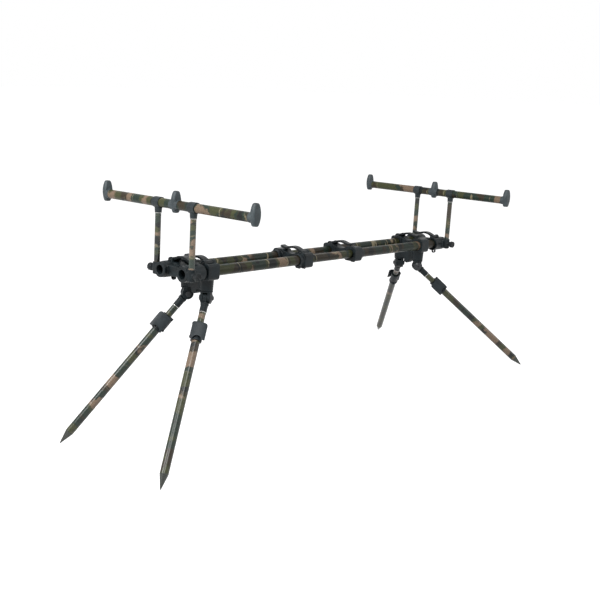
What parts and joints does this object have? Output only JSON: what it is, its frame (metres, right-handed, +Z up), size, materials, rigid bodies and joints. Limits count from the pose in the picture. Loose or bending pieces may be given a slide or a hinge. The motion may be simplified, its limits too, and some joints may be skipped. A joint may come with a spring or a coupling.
{
  "type": "rod pod",
  "caption": "Twin-rail fishing rod pod with telescopic rails, sliding leg heads, swivelling telescopic spiked legs and buzz bars that hold rods over a bank.",
  "frame": {"origin": "on the ground under the middle of the pod's box, where the four spike tips stand", "axes": "+X along the rails towards the rear end, +Y to the right as seen from behind the rear end, +Z up"},
  "size_m": [1.2432, 0.502, 0.5406],
  "materials": {
    "camo_tube": "semi-gloss printed camouflage",
    "slate_casting": "satin dark slate coating",
    "black_lever": "satin moulded nylon",
    "slate_fitting": "satin moulded nylon",
    "black_plug": "matt moulded plug",
    "dark_bolt": "blackened steel",
    "dark_spike": "dark anodised"
  },
  "bodies": {
    "core": {"inner_rails": "camo_tube", "inner_rail_plugs": "black_plug"},
    "front_half": {"front_outer_rails": "camo_tube", "front_rail_plugs": "black_plug", "front_mid_clamp": "slate_casting"},
    "front_mid_lever": {"front_mid_lever": "black_lever"},
    "front_end": {"front_end_bracket": "slate_casting"},
    "front_end_lever": {"front_end_lever": "black_lever"},
    "front_buzz": {"front_buzz_bar": "camo_tube", "front_uprights": "camo_tube", "front_bar_fittings": "slate_fitting"},
    "front_left_thumbscrew": {"front_left_thumbscrew": "black_lever"},
    "front_right_thumbscrew": {"front_right_thumbscrew": "black_lever"},
    "front_head": {"front_leg_head": "slate_casting"},
    "front_head_lever": {"front_head_lever": "black_lever"},
    "front_left_swivel": {"front_left_swivel": "slate_casting", "front_left_hinge_bolt": "dark_bolt"},
    "front_left_leg": {"front_left_knuckle": "slate_casting", "front_left_upper_tube": "camo_tube"},
    "front_left_foot": {"front_left_lower_tube": "camo_tube", "front_left_leg_clamp": "slate_casting", "front_left_spike": "dark_spike"},
    "front_left_leg_lever": {"front_left_leg_lever": "black_lever"},
    "front_right_swivel": {"front_right_swivel": "slate_casting", "front_right_hinge_bolt": "dark_bolt"},
    "front_right_leg": {"front_right_knuckle": "slate_casting", "front_right_upper_tube": "camo_tube"},
    "front_right_foot": {"front_right_lower_tube": "camo_tube", "front_right_leg_clamp": "slate_casting", "front_right_spike": "dark_spike"},
    "front_right_leg_lever": {"front_right_leg_lever": "black_lever"},
    "rear_half": {"rear_outer_rails": "camo_tube", "rear_rail_plugs": "black_plug", "rear_mid_clamp": "slate_casting"},
    "rear_mid_lever": {"rear_mid_lever": "black_lever"},
    "rear_end": {"rear_end_bracket": "slate_casting"},
    "rear_end_lever": {"rear_end_lever": "black_lever"},
    "rear_buzz": {"rear_buzz_bar": "camo_tube", "rear_uprights": "camo_tube", "rear_bar_fittings": "slate_fitting"},
    "rear_left_thumbscrew": {"rear_left_thumbscrew": "black_lever"},
    "rear_right_thumbscrew": {"rear_right_thumbscrew": "black_lever"},
    "rear_head": {"rear_leg_head": "slate_casting"},
    "rear_head_lever": {"rear_head_lever": "black_lever"},
    "rear_left_swivel": {"rear_left_swivel": "slate_casting", "rear_left_hinge_bolt": "dark_bolt"},
    "rear_left_leg": {"rear_left_knuckle": "slate_casting", "rear_left_upper_tube": "camo_tube"},
    "rear_left_foot": {"rear_left_lower_tube": "camo_tube", "rear_left_leg_clamp": "slate_casting", "rear_left_spike": "dark_spike"},
    "rear_left_leg_lever": {"rear_left_leg_lever": "black_lever"},
    "rear_right_swivel": {"rear_right_swivel": "slate_casting", "rear_right_hinge_bolt": "dark_bolt"},
    "rear_right_leg": {"rear_right_knuckle": "slate_casting", "rear_right_upper_tube": "camo_tube"},
    "rear_right_foot": {"rear_right_lower_tube": "camo_tube", "rear_right_leg_clamp": "slate_casting", "rear_right_spike": "dark_spike"},
    "rear_right_leg_lever": {"rear_right_leg_lever": "black_lever"}
  },
  "joints": [
    {"name": "front_extension", "type": "slide", "parent": "core", "child": "front_half", "axis": [-0.999, 0, 0.0451], "range_m": [-0.06, 0.12]},
    {"name": "front_mid_lever_pivot", "type": "hinge", "parent": "front_half", "child": "front_mid_lever", "pos_m": [-0.07402, -0.033, 0.37454], "axis": [0.999, 0, -0.0451], "range_deg": [0, 110]},
    {"name": "front_end_slide", "type": "slide", "parent": "front_half", "child": "front_end", "axis": [-0.999, 0, 0.0451], "range_m": [0, 0.018]},
    {"name": "front_end_lever_pivot", "type": "hinge", "parent": "front_end", "child": "front_end_lever", "pos_m": [-0.41191, 0.033, 0.3914], "axis": [-0.999, 0, 0.0451], "range_deg": [0, 110]},
    {"name": "front_buzz_bar_lift", "type": "slide", "parent": "front_end", "child": "front_buzz", "axis": [0.0451, 0, 0.999], "range_m": [0, 0.016]},
    {"name": "front_left_thumbscrew_turn", "type": "hinge", "parent": "front_end", "child": "front_left_thumbscrew", "pos_m": [-0.4434, -0.054, 0.37451], "axis": [0, 1, 0], "range_deg": [0, 540]},
    {"name": "front_right_thumbscrew_turn", "type": "hinge", "parent": "front_end", "child": "front_right_thumbscrew", "pos_m": [-0.4434, 0.054, 0.37451], "axis": [0, -1, 0], "range_deg": [0, 540]},
    {"name": "front_head_slide", "type": "slide", "parent": "front_half", "child": "front_head", "axis": [-0.999, 0, 0.0451], "range_m": [-0.255, 0.004]},
    {"name": "front_head_lever_pivot", "type": "hinge", "parent": "front_head", "child": "front_head_lever", "pos_m": [-0.37664, -0.033, 0.38981], "axis": [0.999, 0, -0.0451], "range_deg": [0, 110]},
    {"name": "front_left_swing", "type": "hinge", "parent": "front_head", "child": "front_left_swivel", "pos_m": [-0.38004, -0.03, 0.31459], "axis": [0.0451, 0, 0.999], "range_deg": [-30.5, 59.5]},
    {"name": "front_left_fold", "type": "hinge", "parent": "front_left_swivel", "child": "front_left_leg", "pos_m": [-0.38004, -0.03, 0.31459], "axis": [-0.507, 0.8616, 0.0229], "range_deg": [-39, 51]},
    {"name": "front_left_reach", "type": "slide", "parent": "front_left_leg", "child": "front_left_foot", "axis": [-0.5768, -0.3194, -0.7519], "range_m": [-0.024, 0.21]},
    {"name": "front_left_leg_lever_pivot", "type": "hinge", "parent": "front_left_foot", "child": "front_left_leg_lever", "pos_m": [-0.42523, -0.04233, 0.27203], "axis": [-0.5768, -0.3194, -0.7519], "range_deg": [0, 100]},
    {"name": "front_right_swing", "type": "hinge", "parent": "front_head", "child": "front_right_swivel", "pos_m": [-0.38004, 0.03, 0.31459], "axis": [-0.0451, 0, -0.999], "range_deg": [-30.5, 59.5]},
    {"name": "front_right_fold", "type": "hinge", "parent": "front_right_swivel", "child": "front_right_leg", "pos_m": [-0.38004, 0.03, 0.31459], "axis": [0.507, 0.8616, -0.0229], "range_deg": [-39, 51]},
    {"name": "front_right_reach", "type": "slide", "parent": "front_right_leg", "child": "front_right_foot", "axis": [-0.5768, 0.3194, -0.7519], "range_m": [-0.024, 0.21]},
    {"name": "front_right_leg_lever_pivot", "type": "hinge", "parent": "front_right_foot", "child": "front_right_leg_lever", "pos_m": [-0.41318, 0.03922, 0.26147], "axis": [0.5768, -0.3194, 0.7519], "range_deg": [0, 100]},
    {"name": "rear_extension", "type": "slide", "parent": "core", "child": "rear_half", "axis": [0.999, 0, -0.0451], "range_m": [-0.06, 0.12]},
    {"name": "rear_mid_lever_pivot", "type": "hinge", "parent": "rear_half", "child": "rear_mid_lever", "pos_m": [0.11178, 0.033, 0.36614], "axis": [-0.999, 0, 0.0451], "range_deg": [0, 110]},
    {"name": "rear_end_slide", "type": "slide", "parent": "rear_half", "child": "rear_end", "axis": [0.999, 0, -0.0451], "range_m": [0, 0.018]},
    {"name": "rear_end_lever_pivot", "type": "hinge", "parent": "rear_end", "child": "rear_end_lever", "pos_m": [0.47379, -0.033, 0.35139], "axis": [0.999, 0, -0.0451], "range_deg": [0, 110]},
    {"name": "rear_buzz_bar_lift", "type": "slide", "parent": "rear_end", "child": "rear_buzz", "axis": [0.0451, 0, 0.999], "range_m": [0, 0.016]},
    {"name": "rear_left_thumbscrew_turn", "type": "hinge", "parent": "rear_end", "child": "rear_left_thumbscrew", "pos_m": [0.50363, -0.054, 0.33172], "axis": [0, 1, 0], "range_deg": [0, 540]},
    {"name": "rear_right_thumbscrew_turn", "type": "hinge", "parent": "rear_end", "child": "rear_right_thumbscrew", "pos_m": [0.50363, 0.054, 0.33172], "axis": [0, -1, 0], "range_deg": [0, 540]},
    {"name": "rear_head_slide", "type": "slide", "parent": "rear_half", "child": "rear_head", "axis": [0.999, 0, -0.0451], "range_m": [-0.245, 0.038]},
    {"name": "rear_head_lever_pivot", "type": "hinge", "parent": "rear_head", "child": "rear_head_lever", "pos_m": [0.40456, 0.033, 0.35452], "axis": [-0.999, 0, 0.0451], "range_deg": [0, 110]},
    {"name": "rear_left_swing", "type": "hinge", "parent": "rear_head", "child": "rear_left_swivel", "pos_m": [0.40116, -0.03, 0.27929], "axis": [-0.0451, 0, -0.999], "range_deg": [-43.5, 46.5]},
    {"name": "rear_left_fold", "type": "hinge", "parent": "rear_left_swivel", "child": "rear_left_leg", "pos_m": [0.40116, -0.03, 0.27929], "axis": [-0.6877, -0.7254, 0.0311], "range_deg": [-50, 40]},
    {"name": "rear_left_reach", "type": "slide", "parent": "rear_left_leg", "child": "rear_left_foot", "axis": [0.5261, -0.5273, -0.6672], "range_m": [-0.024, 0.21]},
    {"name": "rear_left_leg_lever_pivot", "type": "hinge", "parent": "rear_left_foot", "child": "rear_left_leg_lever", "pos_m": [0.43998, -0.06847, 0.24738], "axis": [-0.5261, 0.5273, 0.6672], "range_deg": [0, 100]},
    {"name": "rear_right_swing", "type": "hinge", "parent": "rear_head", "child": "rear_right_swivel", "pos_m": [0.40116, 0.03, 0.27929], "axis": [0.0451, 0, 0.999], "range_deg": [-43.5, 46.5]},
    {"name": "rear_right_fold", "type": "hinge", "parent": "rear_right_swivel", "child": "rear_right_leg", "pos_m": [0.40116, 0.03, 0.27929], "axis": [0.6877, -0.7254, -0.0311], "range_deg": [-50, 40]},
    {"name": "rear_right_reach", "type": "slide", "parent": "rear_right_leg", "child": "rear_right_foot", "axis": [0.5261, 0.5273, -0.6672], "range_m": [-0.024, 0.21]},
    {"name": "rear_right_leg_lever_pivot", "type": "hinge", "parent": "rear_right_foot", "child": "rear_right_leg_lever", "pos_m": [0.44364, 0.05486, 0.23951], "axis": [0.5261, 0.5273, -0.6672], "range_deg": [0, 100]}
  ]
}
